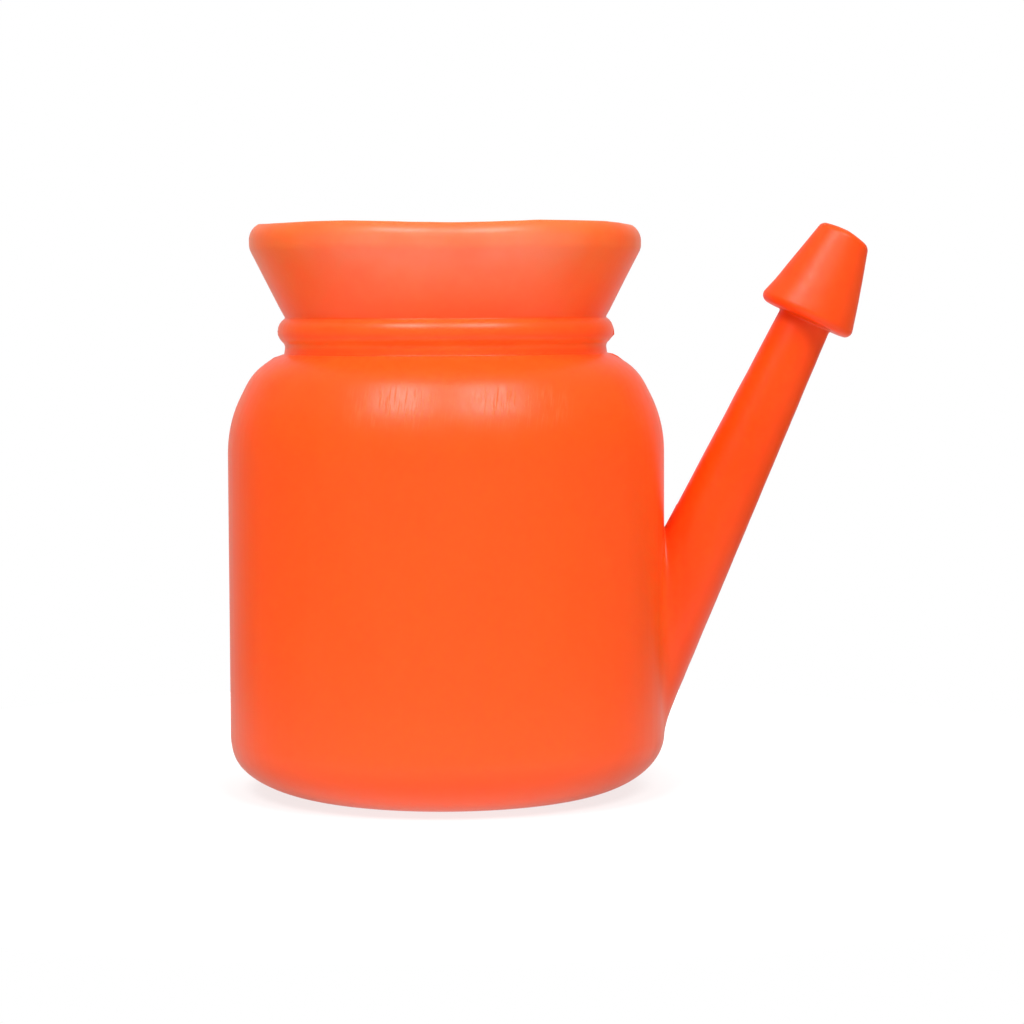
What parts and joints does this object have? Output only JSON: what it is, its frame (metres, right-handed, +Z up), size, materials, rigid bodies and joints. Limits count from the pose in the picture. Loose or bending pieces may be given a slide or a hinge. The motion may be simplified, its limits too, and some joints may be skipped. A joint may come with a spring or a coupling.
{
  "type": "neti pot",
  "caption": "Wide-mouthed hollow pot with a flared lip, a beaded neck and a slanting tubular spout that ends in a cone-shaped nose piece with an outlet.",
  "frame": {"origin": "middle of the base plane, on the axis of the round body", "axes": "+Z up along the body's axis, +X towards the spout, Y = 0 is the mould's parting plane"},
  "size_m": [0.1251, 0.085, 0.1105],
  "materials": {
    "plastic": "orange polyethylene, blow moulded, satin gloss"
  },
  "bodies": {
    "root": {"pot": "plastic"}
  },
  "joints": []
}
